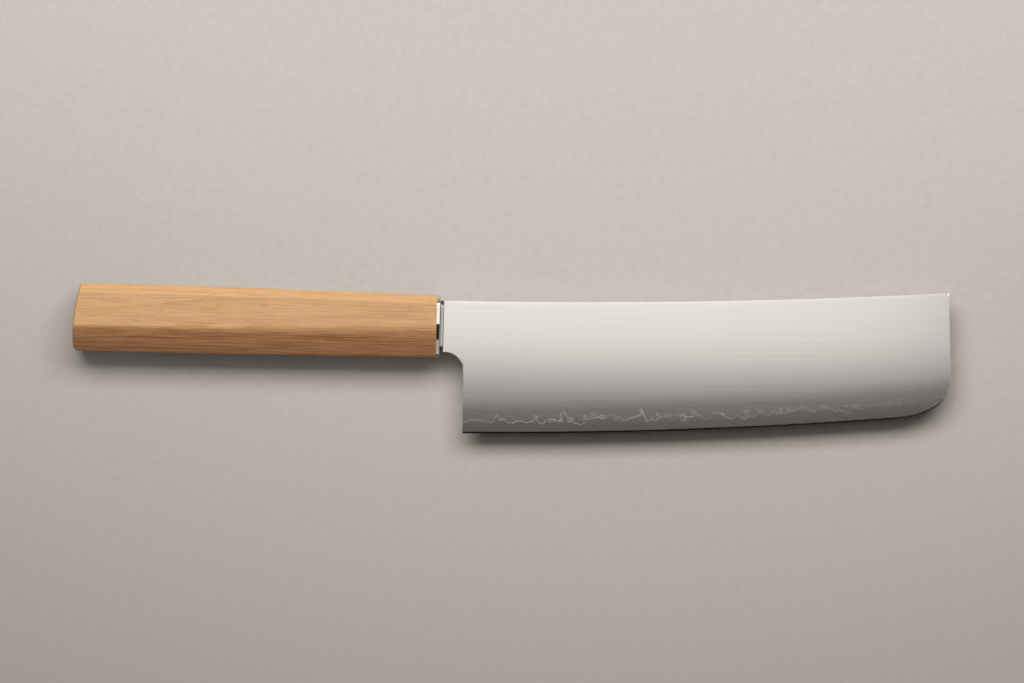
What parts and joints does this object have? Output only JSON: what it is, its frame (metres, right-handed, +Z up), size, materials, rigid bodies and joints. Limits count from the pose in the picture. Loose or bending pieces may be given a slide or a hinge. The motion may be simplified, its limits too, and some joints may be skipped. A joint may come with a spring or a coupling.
{
  "type": "kitchen knife",
  "caption": "Nakiri vegetable knife: tall straight-edged layered blade with a rounded tip, hidden tang, collar, end ring and faceted wooden handle.",
  "frame": {"origin": "middle of the knife's length and height, on the surface that the knife lies on", "axes": "+X from butt to tip along the straight part of the edge, +Y from the edge to the spine, +Z up, across the blade, out of its right side"},
  "size_m": [0.296, 0.0506, 0.0186],
  "materials": {
    "core_steel": "fine satin, sharpened edge bright",
    "cladding_steel": "fine satin, brushed along the blade",
    "collar_steel": "satin",
    "ring_steel": "mirror polished stainless steel",
    "wood": "oiled straight-grained hardwood, satin",
    "resin": "cured epoxy resin"
  },
  "bodies": {
    "root": {"core_steel": "core_steel", "cladding_right": "cladding_steel", "cladding_left": "cladding_steel", "root_collar": "collar_steel", "handle_ring": "ring_steel", "handle_body": "wood", "tang_adhesive": "resin"}
  },
  "joints": []
}
